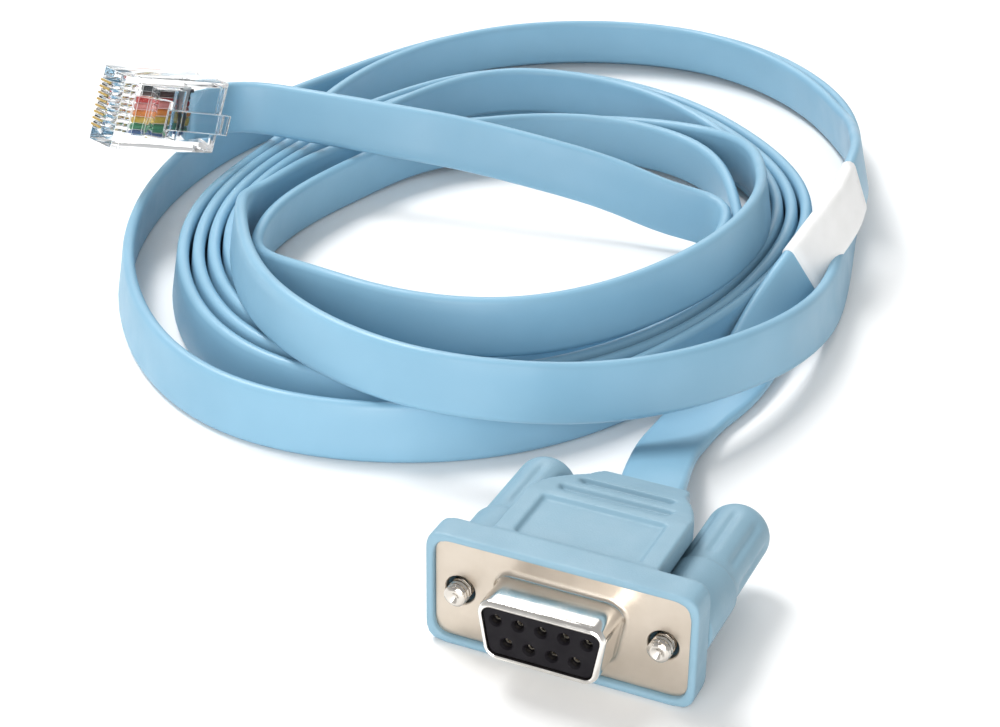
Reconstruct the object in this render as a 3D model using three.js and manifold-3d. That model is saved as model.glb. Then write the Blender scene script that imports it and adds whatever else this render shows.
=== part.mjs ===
// A console cable: a flat eight-conductor cord with a clear modular plug on one end
// and a nine-way D-sub socket connector, with two thumbscrews, on the other.
// Millimetres, +Z up. The connector stands on the floor with its mating face towards -Y,
// and the cord lies behind it in a loose coil.
import * as THREE from "three";
import { mergeVertices } from "three/addons/utils/BufferGeometryUtils.js";
import Module from "manifold-3d";

const wasm = await Module();
wasm.setup();

// Clearances
const GAP = 0.3;
const TINY = 0.05;
// How far a cutting shape reaches past what it cuts.
const PAST = 1;

// Flat cord
const CORD_WIDTH = 8.5;
const CORD_THICK = 1.8;

// D-sub front shell, standard nine-way size
const SCREW_SPACING = 25;
const PLATE_EAR = 2.9;
const PLATE_WIDTH = SCREW_SPACING + 2 * PLATE_EAR;
const PLATE_HEIGHT = 12.5;
const PLATE_THICK = 0.8;
const PLATE_CORNER = 1.8;
const SHELL_WIDTH = 16.3;
const SHELL_HEIGHT = 7.9;
const SHELL_DEPTH = 5.9;
const SHELL_WALL = 0.5;
const SHELL_SLANT = THREE.MathUtils.degToRad(10);
const SHELL_CORNER = 1.6;

// Socket insert and its nine contacts
const INSERT_RECESS = 0.3;
const INSERT_BACK = 2.8;
const CONTACT_PITCH = 2.77;
const CONTACT_ROWS = 2.84;
const CONTACT_HOLE_RADIUS = 0.8;
const CONTACT_RADIUS = 0.5;
const CONTACT_BORE_RADIUS = 0.28;
const CONTACT_RECESS = 1;

// Moulded hood
const RIM_SIDE_WALL = 1.3;
const RIM_TOP_WALL = 1.25;
const RIM_WIDTH = PLATE_WIDTH + 2 * RIM_SIDE_WALL;
const RIM_HEIGHT = PLATE_HEIGHT + 2 * RIM_TOP_WALL;
const RIM_LIP = 0.7;
const RIM_DEPTH = 3.4;
const RIM_CORNER = 2.2;
const BODY_WIDTH = 20.4;
const BODY_HEIGHT = 14.4;
const BODY_END = 13.6;
const SHOULDER_LENGTH = 1.8;
const SHOULDER_INSET = 0.6;
const NECK_END = 26.6;
const NECK_WIDTH = 10.8;
const NECK_HEIGHT = 6.4;
const WAIST = 23;
const WAIST_WIDTH = 11.6;
const PANEL_DEPTH = 0.6;
const PANEL_WIDTH = 15.4;
const PANEL_START = 4.2;
const PANEL_END = 12.8;
const STEP_DEPTH = 0.9;
const STEP_LENGTH = 2.4;
const STEP_STARTS = [14.4, 18.2];
const STEP_WIDTHS = [13.4, 10.6];

// Thumbscrews
const SCREW_RADIUS = 1.42;
const SCREW_TIP = 1.8;
const SCREW_CHAMFER = 0.4;
const SCREW_IN_GRIP = 8;
const COLLAR_RADIUS = 4.35;
const COLLAR_END = 12.6;
const COLLAR_TO_BODY = 0.35;
const GRIP_RADIUS = 3.95;
const GRIP_END = 27.8;
const GRIP_CHAMFER = 0.5;
const DOME_FLATNESS = 0.75;
const GROOVE_COUNT = 6;
const GROOVE_DEPTH = 0.45;
const GROOVE_WIDTH = 0.8;

// Modular plug, standard eight-way size, measured in its own frame:
// X from the cord end to the nose, Y across, Z out of the latch side
const PLUG_LENGTH = 21.4;
const PLUG_WIDTH = 11.7;
const PLUG_HEIGHT = 6.6;
const PLUG_NOSE_CHAMFER = 0.8;
const BLADE_PITCH = 1.02;
const BLADE_COUNT = 8;
const BLADE_THICK = 0.32;
const BLADE_LENGTH = 4.6;
const BLADE_HEIGHT = 2.2;
const BLADE_SINK = 0.35;
const BLADE_PROUD = 0.2;
const BLADE_SETBACK = 0.25;
const SLOT_WIDTH = 0.62;
const SLOT_LENGTH = 5.4;
const JACKET_IN_PLUG = 8.2;
const WIRE_RADIUS = 0.42;
const WIRE_LENGTH = 7.6;
const WINDOW_TO_JACKET = 0.6;
const WINDOW_LENGTH = 5.6;
const WINDOW_WIDTH = 8.2;
const LATCH_ROOT_WIDTH = 6;
const LATCH_FINGER_WIDTH = 3.25;
const LATCH_THICK = 0.9;
const LATCH_STEP = 13.6;
const LATCH_ROOT = 19.6;
const LATCH_RISE = 1.6;
const LATCH_END_RISE = 3.4;
const LATCH_SINK = 0.4;
const LATCH_EDGE = 0.2;
const LATCH_FOOT = 2.6;
const LATCH_OVERLAP = 0.6;

// Where the plug is held by the springy cord, seen from the connector's plate
const PLUG_REAR = new THREE.Vector3(-103.5, 95.5, 14.2);
const PLUG_AXIS = new THREE.Vector3(-0.258, -0.907, 0.332);
const PLUG_SIDE = new THREE.Vector3(-0.14, -0.305, -0.942);

// Coil: the distance from its centre to the outermost and innermost turn's face,
// every thirty degrees anticlockwise from the photograph's right-hand side
const COIL_CENTRE = new THREE.Vector2(-53.5, 100.7);
const COIL_START_ANGLE = THREE.MathUtils.degToRad(24.3);
const COIL_STEP = THREE.MathUtils.degToRad(30);
const COIL_OUTER = [56.4, 69.1, 80.3, 73.1, 58.7, 54.9, 56.5, 63.2, 71.9, 66.9, 62.4, 58.3];
const COIL_INNER = [34.6, 35.9, 31.2, 26.5, 25, 25.4, 31.2, 41.2, 51.8, 50.4, 41.6, 34.6];
const COIL_SMOOTH = 48;
// The turns that lie on top of others at the front, from their first to their last angle
const TOP_TURNS_INNER = [43.6, 53.6, 58.6];
const TOP_TURNS_OUTER = [47.4, 72.4, 63.6];
const TOP_TURNS_STEPS = [7.4, 9, 10.6];

// The cord's free stretches: centre points and the lean of its width from upright, degrees
const TO_PLUG_ROUTE = [
  [-100.6, 100.6, 13.4, 6],
  [-96.2, 102.3, 13.5, 18],
  [-89.6, 102.6, 13.7, 21],
  [-82.9, 103, 13.6, 22],
  [-76.2, 103.6, 13.5, 22],
  [-63.2, 105.7, 12.6, 20],
  [-50, 107.5, 11, 18],
  [-37.2, 109, 8.8, 15],
  [-27.6, 109.4, 6.4, 12],
  [-21.4, 109.8, 5.3, 9],
];
const TO_CONNECTOR_ROUTE = [
  [-5.1, 54, 1.2, -90],
  [-4.9, 48.6, 1.8, -90],
  [-3.5, 41.4, 4.2, -90],
  [-1.9, 35, 6.3, -90],
  [-0.9, 30.4, 7.2, -90],
  [-0.6, 27.2, 7.5, -90],
];
const LABEL_ROUTE = [
  [-5.2, 123.4, 12.6, -40],
  [-3.1, 116.4, 12.4, -46],
  [-1.5, 108.6, 12.3, -50],
];
const LABEL_THICK = 0.25;

const PLATE_CENTRE_HEIGHT = RIM_HEIGHT / 2;
const SHELL_MOUTH = -SHELL_DEPTH;
const ORIGIN_BACK = (SHELL_MOUTH + GRIP_END) / 2;

function material(color, roughness, metalness) {
  return new THREE.MeshStandardMaterial({ color, roughness, metalness });
}

const BLUE_VINYL = material(0x8fc3dc, 0.5, 0);
const NICKEL = material(0xb9b4a8, 0.28, 1);
const BLACK_PLASTIC = material(0x17181a, 0.5, 0);
const GOLD = material(0xd8a94e, 0.25, 1);
const CLEAR_PLASTIC = material(0xe9eef0, 0.08, 0);
const LABEL_VINYL = material(0xf4f4f2, 0.45, 0);
const WIRE_COLOURS = [0x33363a, 0x2e2a2c, 0xc0392b, 0xd98880, 0xd9822b, 0xc9a227, 0x3f7d55, 0x5b6fa3];

function mesh(name, geometry, itsMaterial) {
  const made = new THREE.Mesh(geometry, itsMaterial);
  made.name = name;
  return made;
}

// Turns a closed geometry, placed by its matrix, into a solid.
function solid(geometry) {
  const bare = geometry.clone();
  bare.deleteAttribute("normal");
  bare.deleteAttribute("uv");
  const merged = mergeVertices(bare, 1e-4);
  return new wasm.Manifold(
    new wasm.Mesh({
      numProp: 3,
      vertProperties: new Float32Array(merged.attributes.position.array),
      triVerts: new Uint32Array(merged.index.array),
    }),
  );
}

// Turns a solid back into a geometry.
function geometryOf(made) {
  const { vertProperties, triVerts } = made.getMesh();
  const geometry = new THREE.BufferGeometry();
  geometry.setAttribute("position", new THREE.BufferAttribute(vertProperties, 3));
  geometry.setIndex(new THREE.BufferAttribute(triVerts, 1));
  geometry.computeVertexNormals();
  return geometry;
}

function cutAll(body, tools) {
  return tools.reduce((left, tool) => left.subtract(tool), body);
}

// A closed outline with round corners, through points given anticlockwise.
function roundOutline(points, radius, steps = 3) {
  const corners = points.map(([x, y]) => new THREE.Vector2(x, y));
  const outline = [];
  corners.forEach((corner, i) => {
    const before = corners[(i + corners.length - 1) % corners.length];
    const after = corners[(i + 1) % corners.length];
    const inward = before.clone().sub(corner).normalize();
    const outward = after.clone().sub(corner).normalize();
    const half = inward.angleTo(outward) / 2;
    const back = radius / Math.tan(half);
    const start = corner.clone().addScaledVector(inward, back);
    const end = corner.clone().addScaledVector(outward, back);
    const curve = new THREE.QuadraticBezierCurve(start, corner, end);
    outline.push(...curve.getPoints(steps));
  });
  return new THREE.Shape(outline);
}

function roundRectangle(width, height, radius) {
  const x = width / 2;
  const y = height / 2;
  return roundOutline([[-x, -y], [x, -y], [x, y], [-x, y]], radius);
}

// The D outline: its top side is the wide one.
function dOutline(width, height, radius) {
  const top = width / 2;
  const bottom = top - height * Math.tan(SHELL_SLANT);
  const y = height / 2;
  return roundOutline([[-bottom, -y], [bottom, -y], [top, y], [-top, y]], radius);
}

// Extrudes an outline drawn in X and Z from one depth to another along Y.
function alongY(shape, from, to) {
  const geometry = new THREE.ExtrudeGeometry(shape, { depth: to - from, bevelEnabled: false });
  geometry.rotateX(Math.PI / 2);
  geometry.translate(0, to, 0);
  return geometry;
}

function box(width, depth, height, x, y, z) {
  return new THREE.BoxGeometry(width, depth, height).translate(x, y, z);
}

// A turned piece whose axis runs along Y through the given point.
function turned(profile, segments, x, z) {
  const points = profile.map(([radius, y]) => new THREE.Vector2(radius, y));
  return new THREE.LatheGeometry(points, segments).translate(x, 0, z);
}

function rod(radius, from, to, x, z, segments = 20) {
  return turned([[0, from], [radius, from], [radius, to], [0, to]], segments, x, z);
}

const screwSides = [-1, 1].map((side) => (side * SCREW_SPACING) / 2);

// The height of the hood's top above its middle, behind its body: an even slope to the neck.
function hoodTop(y) {
  const share = (y - BODY_END) / (NECK_END - BODY_END);
  return THREE.MathUtils.lerp(BODY_HEIGHT / 2, NECK_HEIGHT / 2, share);
}

// The hood seen from above.
function hoodPlan() {
  const rightSide = [
    [BODY_WIDTH / 2, RIM_DEPTH - TINY],
    [BODY_WIDTH / 2, BODY_END],
    [BODY_WIDTH / 2 - SHOULDER_INSET, BODY_END + SHOULDER_LENGTH],
    [WAIST_WIDTH / 2, WAIST],
    [NECK_WIDTH / 2, NECK_END],
  ];
  const leftSide = rightSide.map(([x, y]) => [-x, y]).reverse();
  return new THREE.Shape([...rightSide, ...leftSide].map(([x, y]) => new THREE.Vector2(x, y)));
}

// The hood seen from the side.
function hoodProfile() {
  const top = [
    [RIM_DEPTH - TINY, BODY_HEIGHT / 2],
    [BODY_END, BODY_HEIGHT / 2],
    [NECK_END, NECK_HEIGHT / 2],
  ];
  const bottom = top.map(([y, z]) => [y, -z]).reverse();
  return new THREE.Shape([...top, ...bottom].map(([y, z]) => new THREE.Vector2(y, z)));
}

// Extrudes an outline drawn in Y and Z evenly to both sides of X = 0.
function acrossX(shape, width) {
  const geometry = new THREE.ExtrudeGeometry(shape, { depth: width, bevelEnabled: false });
  geometry.rotateX(Math.PI / 2);
  geometry.rotateZ(Math.PI / 2);
  return geometry.translate(-width / 2, 0, 0);
}

// One grip step: a wedge that deepens towards the neck and ends in a wall.
function makeStep(start, width) {
  const end = start + STEP_LENGTH;
  const wedge = new THREE.Shape([
    new THREE.Vector2(start, hoodTop(start)),
    new THREE.Vector2(end, hoodTop(end) - STEP_DEPTH),
    new THREE.Vector2(end, hoodTop(start) + PAST),
    new THREE.Vector2(start, hoodTop(start) + PAST),
  ]);
  return solid(acrossX(wedge, width));
}

// The moulded hood: its rim, body, recessed panel, grip steps and neck are one piece.
function makeHood() {
  const rim = solid(alongY(roundRectangle(RIM_WIDTH, RIM_HEIGHT, RIM_CORNER), -RIM_LIP, RIM_DEPTH));
  const plan = new THREE.ExtrudeGeometry(hoodPlan(), { depth: RIM_HEIGHT, bevelEnabled: false });
  plan.translate(0, 0, -RIM_HEIGHT / 2);
  const body = solid(plan).intersect(solid(acrossX(hoodProfile(), BODY_WIDTH)));
  const panel = solid(
    box(PANEL_WIDTH, PANEL_END - PANEL_START, 2 * PANEL_DEPTH, 0, (PANEL_START + PANEL_END) / 2, BODY_HEIGHT / 2),
  );
  const pocket = roundRectangle(PLATE_WIDTH + 2 * GAP, PLATE_HEIGHT + 2 * GAP, PLATE_CORNER + GAP);
  const platePocket = solid(alongY(pocket, -RIM_LIP - PAST, PLATE_THICK + GAP));
  const insertPocket = solid(
    alongY(dOutline(SHELL_WIDTH, SHELL_HEIGHT, SHELL_CORNER), 0, INSERT_BACK + GAP),
  );
  const bores = screwSides.map((x) =>
    solid(rod(SCREW_RADIUS + 2 * GAP, 0, RIM_DEPTH + PAST, x, 0)),
  );
  const channels = screwSides.map((x) =>
    solid(rod(COLLAR_RADIUS + COLLAR_TO_BODY, RIM_DEPTH, NECK_END + PAST, x, 0, 32)),
  );
  const steps = STEP_STARTS.map((start, i) => makeStep(start, STEP_WIDTHS[i]));
  return mesh(
    "connector_hood",
    geometryOf(
      cutAll(rim.add(body), [panel, platePocket, insertPocket, ...bores, ...channels, ...steps]),
    ),
    BLUE_VINYL,
  );
}

// The stamped front shell: a flange plate with the D-shaped collar drawn out of it.
function makeShell() {
  const plate = solid(alongY(roundRectangle(PLATE_WIDTH, PLATE_HEIGHT, PLATE_CORNER), 0, PLATE_THICK));
  const collar = solid(
    alongY(dOutline(SHELL_WIDTH, SHELL_HEIGHT, SHELL_CORNER), SHELL_MOUTH, PLATE_THICK / 2),
  );
  const inside = solid(
    alongY(
      dOutline(SHELL_WIDTH - 2 * SHELL_WALL, SHELL_HEIGHT - 2 * SHELL_WALL, SHELL_CORNER - SHELL_WALL),
      SHELL_MOUTH - PAST,
      PLATE_THICK + PAST,
    ),
  );
  const holes = screwSides.map((x) => solid(rod(SCREW_RADIUS + GAP, -PAST, PLATE_THICK + PAST, x, 0)));
  return mesh("front_shell", geometryOf(cutAll(plate.add(collar), [inside, ...holes])), NICKEL);
}

// Five contacts in the wide upper row and four in the lower one.
function contactPlaces() {
  const places = [];
  for (let i = 0; i < 5; i++) places.push([(i - 2) * CONTACT_PITCH, CONTACT_ROWS / 2]);
  for (let i = 0; i < 4; i++) places.push([(i - 1.5) * CONTACT_PITCH, -CONTACT_ROWS / 2]);
  return places;
}

function makeInsert() {
  const front = SHELL_MOUTH + INSERT_RECESS;
  const inset = 2 * (SHELL_WALL + GAP);
  const block = solid(
    alongY(dOutline(SHELL_WIDTH - inset, SHELL_HEIGHT - inset, SHELL_CORNER - inset / 2), front, INSERT_BACK),
  );
  const holes = contactPlaces().map(([x, z]) =>
    solid(rod(CONTACT_HOLE_RADIUS, front - PAST, INSERT_BACK + PAST, x, z, 14)),
  );
  return mesh("socket_insert", geometryOf(cutAll(block, holes)), BLACK_PLASTIC);
}

function makeSocketContacts() {
  const from = SHELL_MOUTH + INSERT_RECESS + CONTACT_RECESS;
  const to = INSERT_BACK - GAP;
  const profile = [
    [CONTACT_BORE_RADIUS, from],
    [CONTACT_RADIUS, from],
    [CONTACT_RADIUS, to],
    [CONTACT_BORE_RADIUS, to],
    [CONTACT_BORE_RADIUS, from],
  ];
  return contactPlaces().map(([x, z], i) =>
    mesh(`socket_contact_${i + 1}`, turned(profile, 10, x, z), GOLD),
  );
}

// One moulded grip: a thick collar, a slimmer fluted handle and a domed end.
function makeGrip(side, x) {
  const start = RIM_DEPTH + GAP;
  const domeLength = GRIP_RADIUS * DOME_FLATNESS;
  const shoulder = GRIP_END - domeLength;
  const dome = [];
  for (let i = 0; i < 5; i++) {
    const angle = (i / 5) * (Math.PI / 2);
    dome.push([GRIP_RADIUS * Math.cos(angle), shoulder + domeLength * Math.sin(angle)]);
  }
  const profile = [
    [0, start],
    [COLLAR_RADIUS, start],
    [COLLAR_RADIUS, COLLAR_END],
    [GRIP_RADIUS, COLLAR_END + GRIP_CHAMFER],
    ...dome,
    [0, GRIP_END],
  ];
  const outer = solid(turned(profile, 28, x, 0));
  const bore = solid(rod(SCREW_RADIUS + GAP, start - PAST, start + SCREW_IN_GRIP + GAP, x, 0));
  const grooveStart = COLLAR_END + 2 * GRIP_CHAMFER;
  const grooves = [];
  for (let i = 0; i < GROOVE_COUNT; i++) {
    const angle = ((i + 0.5) / GROOVE_COUNT) * 2 * Math.PI;
    const groove = new THREE.BoxGeometry(GROOVE_WIDTH, shoulder - grooveStart, 2 * GROOVE_DEPTH);
    groove.translate(0, (shoulder + grooveStart) / 2, GRIP_RADIUS);
    groove.rotateY(angle);
    groove.translate(x, 0, 0);
    grooves.push(solid(groove));
  }
  return mesh(`${side}_thumb_grip`, geometryOf(cutAll(outer, [bore, ...grooves])), BLUE_VINYL);
}

// The metal jackscrew that is held in a grip.
function makeJackscrew(side, x) {
  const end = RIM_DEPTH + GAP + SCREW_IN_GRIP;
  const profile = [
    [0, -SCREW_TIP],
    [SCREW_RADIUS - SCREW_CHAMFER, -SCREW_TIP],
    [SCREW_RADIUS, -SCREW_TIP + SCREW_CHAMFER],
    [SCREW_RADIUS, end],
    [0, end],
  ];
  return mesh(`${side}_jackscrew`, turned(profile, 20, x, 0), NICKEL);
}

// The clear plug: body, comb for the contacts, cord pocket and latch are one moulding.
function makePlugBody() {
  const halfHeight = PLUG_HEIGHT / 2;
  const side = new THREE.Shape([
    new THREE.Vector2(0, -halfHeight),
    new THREE.Vector2(PLUG_LENGTH - PLUG_NOSE_CHAMFER, -halfHeight),
    new THREE.Vector2(PLUG_LENGTH, -halfHeight + PLUG_NOSE_CHAMFER),
    new THREE.Vector2(PLUG_LENGTH, halfHeight - PLUG_NOSE_CHAMFER),
    new THREE.Vector2(PLUG_LENGTH - PLUG_NOSE_CHAMFER, halfHeight),
    new THREE.Vector2(0, halfHeight),
  ]);
  const body = solid(alongWidth(side, PLUG_WIDTH));
  const rootTop = halfHeight + LATCH_THICK;
  const root = new THREE.Shape([
    new THREE.Vector2(LATCH_ROOT, halfHeight - LATCH_SINK),
    new THREE.Vector2(LATCH_ROOT, halfHeight + LATCH_EDGE),
    new THREE.Vector2(LATCH_STEP, rootTop + LATCH_RISE),
    new THREE.Vector2(LATCH_STEP, rootTop + LATCH_RISE - LATCH_THICK),
    new THREE.Vector2(LATCH_ROOT - LATCH_FOOT, halfHeight - LATCH_SINK),
  ]);
  const finger = new THREE.Shape([
    new THREE.Vector2(LATCH_STEP + LATCH_OVERLAP, rootTop + LATCH_RISE - LATCH_THICK),
    new THREE.Vector2(LATCH_STEP + LATCH_OVERLAP, rootTop + LATCH_RISE),
    new THREE.Vector2(0, rootTop + LATCH_END_RISE),
    new THREE.Vector2(0, rootTop + LATCH_END_RISE - LATCH_THICK),
  ]);
  const latch = solid(alongWidth(root, LATCH_ROOT_WIDTH)).add(
    solid(alongWidth(finger, LATCH_FINGER_WIDTH)),
  );
  const pocket = solid(
    plugBox(-PAST, JACKET_IN_PLUG + GAP, CORD_WIDTH + 2 * GAP, CORD_THICK + 2 * GAP, 0, 0),
  );
  const wireSpace = solid(
    plugBox(JACKET_IN_PLUG, JACKET_IN_PLUG + WIRE_LENGTH + 2 * GAP, CORD_WIDTH, 2 * (WIRE_RADIUS + GAP), 0, 0),
  );
  const windowStart = JACKET_IN_PLUG + WINDOW_TO_JACKET;
  const windowDepth = halfHeight + PAST;
  const window = solid(
    plugBox(windowStart, windowStart + WINDOW_LENGTH, WINDOW_WIDTH, windowDepth, 0, windowDepth / 2),
  );
  const slotStart = PLUG_LENGTH - SLOT_LENGTH;
  const slotHeight = BLADE_HEIGHT + PAST;
  const slotMiddle = slotHeight / 2 - halfHeight - PAST + BLADE_SINK + GAP;
  const slots = bladePlaces().map((y) =>
    solid(plugBox(slotStart, PLUG_LENGTH + PAST, SLOT_WIDTH, slotHeight, y, slotMiddle)),
  );
  const cut = cutAll(body, [pocket, wireSpace, window, ...slots]);
  return mesh("plug_body", geometryOf(cut.add(latch)), CLEAR_PLASTIC);
}

// Extrudes an outline drawn in X and Z evenly to both sides of Y = 0.
function alongWidth(shape, width) {
  const geometry = new THREE.ExtrudeGeometry(shape, { depth: width, bevelEnabled: false });
  geometry.rotateX(Math.PI / 2);
  geometry.translate(0, width / 2, 0);
  return geometry;
}

function plugBox(fromX, toX, width, height, y, z) {
  return box(toX - fromX, width, height, (fromX + toX) / 2, y, z);
}

function bladePlaces() {
  const places = [];
  for (let i = 0; i < BLADE_COUNT; i++) places.push((i - (BLADE_COUNT - 1) / 2) * BLADE_PITCH);
  return places;
}

function makePlugContacts() {
  const z = -PLUG_HEIGHT / 2 + BLADE_SINK + BLADE_HEIGHT / 2 - BLADE_PROUD;
  const end = PLUG_LENGTH - BLADE_SETBACK;
  return bladePlaces().map((y, i) =>
    mesh(`plug_contact_${i + 1}`, plugBox(end - BLADE_LENGTH, end, BLADE_THICK, BLADE_HEIGHT, y, z), GOLD),
  );
}

function makeConductors() {
  const from = JACKET_IN_PLUG + GAP;
  return bladePlaces().map((y, i) => {
    const wire = rod(WIRE_RADIUS, 0, WIRE_LENGTH, 0, 0, 8);
    wire.rotateZ(-Math.PI / 2);
    wire.translate(from, y, 0);
    return mesh(`conductor_${i + 1}`, wire, material(WIRE_COLOURS[i], 0.5, 0));
  });
}

const UP = new THREE.Vector3(0, 0, 1);

// The level and the upright direction across a cord that runs along the given direction.
function levelAndUpright(along) {
  const level = new THREE.Vector3().crossVectors(UP, along).normalize();
  const upright = new THREE.Vector3().crossVectors(along, level).normalize();
  return { level, upright };
}

// The path of a flat cord: a smooth curve that carries the lean of the cord's width.
class RibbonCurve extends THREE.CatmullRomCurve3 {
  constructor(route) {
    super(route.map(([x, y, z]) => new THREE.Vector3(x, y, z)), false, "centripetal");
    this.leans = route.map((station) => THREE.MathUtils.degToRad(station[3]));
  }

  sideAt(share) {
    const place = share * (this.points.length - 1);
    const index = Math.min(Math.floor(place), this.leans.length - 2);
    const lean = THREE.MathUtils.lerp(this.leans[index], this.leans[index + 1], place - index);
    const along = this.getTangent(share);
    const { level, upright } = levelAndUpright(along);
    return upright.multiplyScalar(Math.cos(lean)).addScaledVector(level, Math.sin(lean));
  }

  getSpacedPoints(steps) {
    return this.getPoints(steps);
  }

  computeFrenetFrames(steps) {
    const tangents = [];
    const normals = [];
    const binormals = [];
    for (let i = 0; i <= steps; i++) {
      const along = this.getTangent(i / steps).normalize();
      const across = this.sideAt(i / steps);
      tangents.push(along);
      normals.push(across);
      binormals.push(new THREE.Vector3().crossVectors(along, across).normalize());
    }
    return { tangents, normals, binormals };
  }
}

// The flat cord's section: straight sides and round edges, with ten corners.
function cordSection(width, thick) {
  const radius = thick / 2;
  const straight = width / 2 - radius;
  const outline = [];
  for (const end of [1, -1]) {
    for (let i = 0; i <= 4; i++) {
      const angle = -Math.PI / 2 + (i * Math.PI) / 4;
      outline.push(new THREE.Vector2(end * (straight + radius * Math.cos(angle)), end * radius * Math.sin(angle)));
    }
  }
  return new THREE.Shape(outline);
}

function ribbon(name, route, steps, width, thick, itsMaterial) {
  const extrudePath = new RibbonCurve(route);
  const shape = cordSection(width, thick);
  return mesh(name, new THREE.ExtrudeGeometry(shape, { steps, extrudePath }), itsMaterial);
}

// A point of the coil's plan, at a number of thirty-degree steps and a distance from its centre.
function coilPoint(step, radius) {
  const angle = COIL_START_ANGLE + step * COIL_STEP;
  return new THREE.Vector2(
    COIL_CENTRE.x + radius * Math.cos(angle),
    COIL_CENTRE.y + radius * Math.sin(angle),
  );
}

function coilOutline(radii) {
  const points = radii.map((radius, i) => {
    const place = coilPoint(i, radius);
    return new THREE.Vector3(place.x, place.y, 0);
  });
  const curve = new THREE.CatmullRomCurve3(points, true, "centripetal");
  return curve.getPoints(COIL_SMOOTH).slice(0, -1).map((p) => new THREE.Vector2(p.x, p.y));
}

// The coil as one plain solid, with the turns that lie on top of others at the front.
function makeCoil() {
  const outline = new THREE.Shape(coilOutline(COIL_OUTER));
  outline.holes.push(new THREE.Path(coilOutline(COIL_INNER)));
  const ring = solid(new THREE.ExtrudeGeometry(outline, { depth: CORD_WIDTH, bevelEnabled: false }));
  const crescent = (radii) =>
    new THREE.SplineCurve(radii.map((radius, i) => coilPoint(TOP_TURNS_STEPS[i], radius))).getPoints(12);
  const top = new THREE.Shape([...crescent(TOP_TURNS_OUTER), ...crescent(TOP_TURNS_INNER).reverse()]);
  const raised = solid(
    new THREE.ExtrudeGeometry(top, { depth: CORD_WIDTH + TINY, bevelEnabled: false })
      .translate(0, 0, CORD_WIDTH - TINY),
  );
  return mesh("cable_coil", geometryOf(ring.add(raised)), BLUE_VINYL);
}

const plugAxis = PLUG_AXIS.clone().normalize();
const plugSide = PLUG_SIDE.clone().addScaledVector(plugAxis, -PLUG_SIDE.dot(plugAxis)).normalize();

function makePlug() {
  const plug = new THREE.Group();
  const latchSide = new THREE.Vector3().crossVectors(plugAxis, plugSide);
  plug.add(makePlugBody(), ...makePlugContacts(), ...makeConductors());
  plug.matrixAutoUpdate = false;
  plug.matrix.makeBasis(plugAxis, plugSide, latchSide).setPosition(PLUG_REAR);
  return plug;
}

// The stations of the cord that lie inside the plug, from its end to the plug's rear.
function stationsInPlug() {
  const { level, upright } = levelAndUpright(plugAxis.clone().negate());
  const lean = THREE.MathUtils.radToDeg(Math.atan2(-plugSide.dot(level), -plugSide.dot(upright)));
  return [1, 0.66, 0.33, 0, -0.25].map((share) => {
    const place = PLUG_REAR.clone().addScaledVector(plugAxis, JACKET_IN_PLUG * share);
    return [place.x, place.y, place.z, lean];
  });
}

function makeCord() {
  const plugRoute = [...stationsInPlug(), ...TO_PLUG_ROUTE];
  return [
    ribbon("cable_to_plug", plugRoute, 26, CORD_WIDTH, CORD_THICK, BLUE_VINYL),
    makeCoil(),
    ribbon("cable_to_connector", TO_CONNECTOR_ROUTE, 8, CORD_WIDTH, CORD_THICK, BLUE_VINYL),
    ribbon(
      "cable_label", LABEL_ROUTE, 5, CORD_WIDTH + 2 * LABEL_THICK, CORD_THICK + 2 * LABEL_THICK, LABEL_VINYL,
    ),
  ];
}

const connector = new THREE.Group();
connector.position.set(0, 0, PLATE_CENTRE_HEIGHT);
connector.add(
  makeHood(),
  makeShell(),
  makeInsert(),
  ...makeSocketContacts(),
  makeGrip("left", screwSides[0]),
  makeJackscrew("left", screwSides[0]),
  makeGrip("right", screwSides[1]),
  makeJackscrew("right", screwSides[1]),
);

const cable = new THREE.Group();
cable.position.set(0, -ORIGIN_BACK, 0);
cable.add(connector, makePlug(), ...makeCord());

export default cable;
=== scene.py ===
# %% [markdown]
# # A console cable in a loose coil
# The object is a flat blue cord, wound by hand and laid on a white table. One end is a
# D-sub socket connector with two thumbscrews, the other a clear modular plug.
# Everything here is built around the solid model, so the first step loads it.

# %% Load the solid model
import math

import bmesh
import bpy
import numpy as np
from mathutils import Matrix, Vector


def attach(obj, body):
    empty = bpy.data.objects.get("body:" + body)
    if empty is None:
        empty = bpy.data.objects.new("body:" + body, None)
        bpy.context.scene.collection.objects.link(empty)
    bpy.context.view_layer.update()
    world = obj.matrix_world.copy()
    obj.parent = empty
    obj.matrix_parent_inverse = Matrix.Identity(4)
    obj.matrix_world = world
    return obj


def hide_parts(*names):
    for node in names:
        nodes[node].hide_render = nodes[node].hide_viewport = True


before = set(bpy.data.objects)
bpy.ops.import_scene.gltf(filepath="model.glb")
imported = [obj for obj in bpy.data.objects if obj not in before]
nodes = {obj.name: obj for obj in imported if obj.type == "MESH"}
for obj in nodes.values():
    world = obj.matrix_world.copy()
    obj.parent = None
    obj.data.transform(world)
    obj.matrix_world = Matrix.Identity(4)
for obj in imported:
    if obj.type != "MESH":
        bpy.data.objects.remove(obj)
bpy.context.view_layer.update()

# %% [markdown]
# Blender measures in metres, and the sizes of a cable are easier to read in millimetres.
# One factor turns the one into the other. The solid model's own zero lies under the middle
# of the connector, so places that were measured from its flange plate move back by PLATE_Y.

# %% Millimetres and places
MM = 0.001
PLATE_Y = -10.95
PLATE_Z = 7.5


def at(x, y, z):
    """A place measured from the connector's plate, as a point in the scene."""
    return Vector((x * MM, (y + PLATE_Y) * MM, z * MM))


# %% [markdown]
# The photograph looks down at 29 degrees, from in front of the connector and a little to its
# right, through a long lens. The camera is set from the three directions it needs: where it
# looks, which way is right in the picture and which way is up.

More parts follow.
